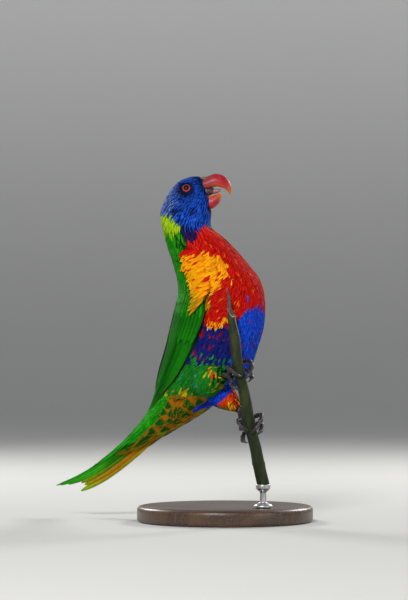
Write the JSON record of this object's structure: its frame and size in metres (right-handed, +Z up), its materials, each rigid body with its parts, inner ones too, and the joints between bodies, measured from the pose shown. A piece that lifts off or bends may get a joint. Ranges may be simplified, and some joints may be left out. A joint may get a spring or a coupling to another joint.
{
  "type": "rainbow lorikeet on a perch",
  "caption": "Life-size rainbow lorikeet, head raised and bill open, gripping an upright green stem on a round display stand.",
  "frame": {"origin": "centre of the stand's underside, on the floor", "axes": "+Z up; the camera of the picture looks along +Y; the bill points along +X and the tail runs down towards -X and +Y"},
  "size_m": [0.1959, 0.1392, 0.261],
  "materials": {
    "feather_blue": "violet-blue head feathers, streaked",
    "feather_red": "red, orange and blue body feathers",
    "feather_tail": "green and olive tail feathers",
    "feather_green": "glossy green wing feathers",
    "feather_thigh": "green and yellow thigh feathers",
    "scaly_skin": "grey scaly skin with dark claws",
    "bill_horn": "polished orange-red horn",
    "tongue_flesh": "dark pink flesh",
    "eye": "orange-red iris, dark pupil, wet gloss",
    "green_stem": "green stem with a dry brown tip",
    "stand_wood": "dark stained and waxed wood",
    "stand_steel": "satin steel"
  },
  "bodies": {
    "root": {"head": "feather_blue", "neck": "feather_blue", "torso": "feather_red", "tail": "feather_tail", "wing_right": "feather_green", "wing_left": "feather_green", "thigh_right": "feather_thigh", "thigh_left": "feather_thigh", "foot_right": "scaly_skin", "foot_left": "scaly_skin", "bill_upper": "bill_horn", "bill_lower": "bill_horn", "tongue": "tongue_flesh", "eye_right": "eye", "eye_left": "eye", "perch": "green_stem", "stand_base": "stand_wood", "stand_rod": "stand_steel"}
  },
  "joints": []
}
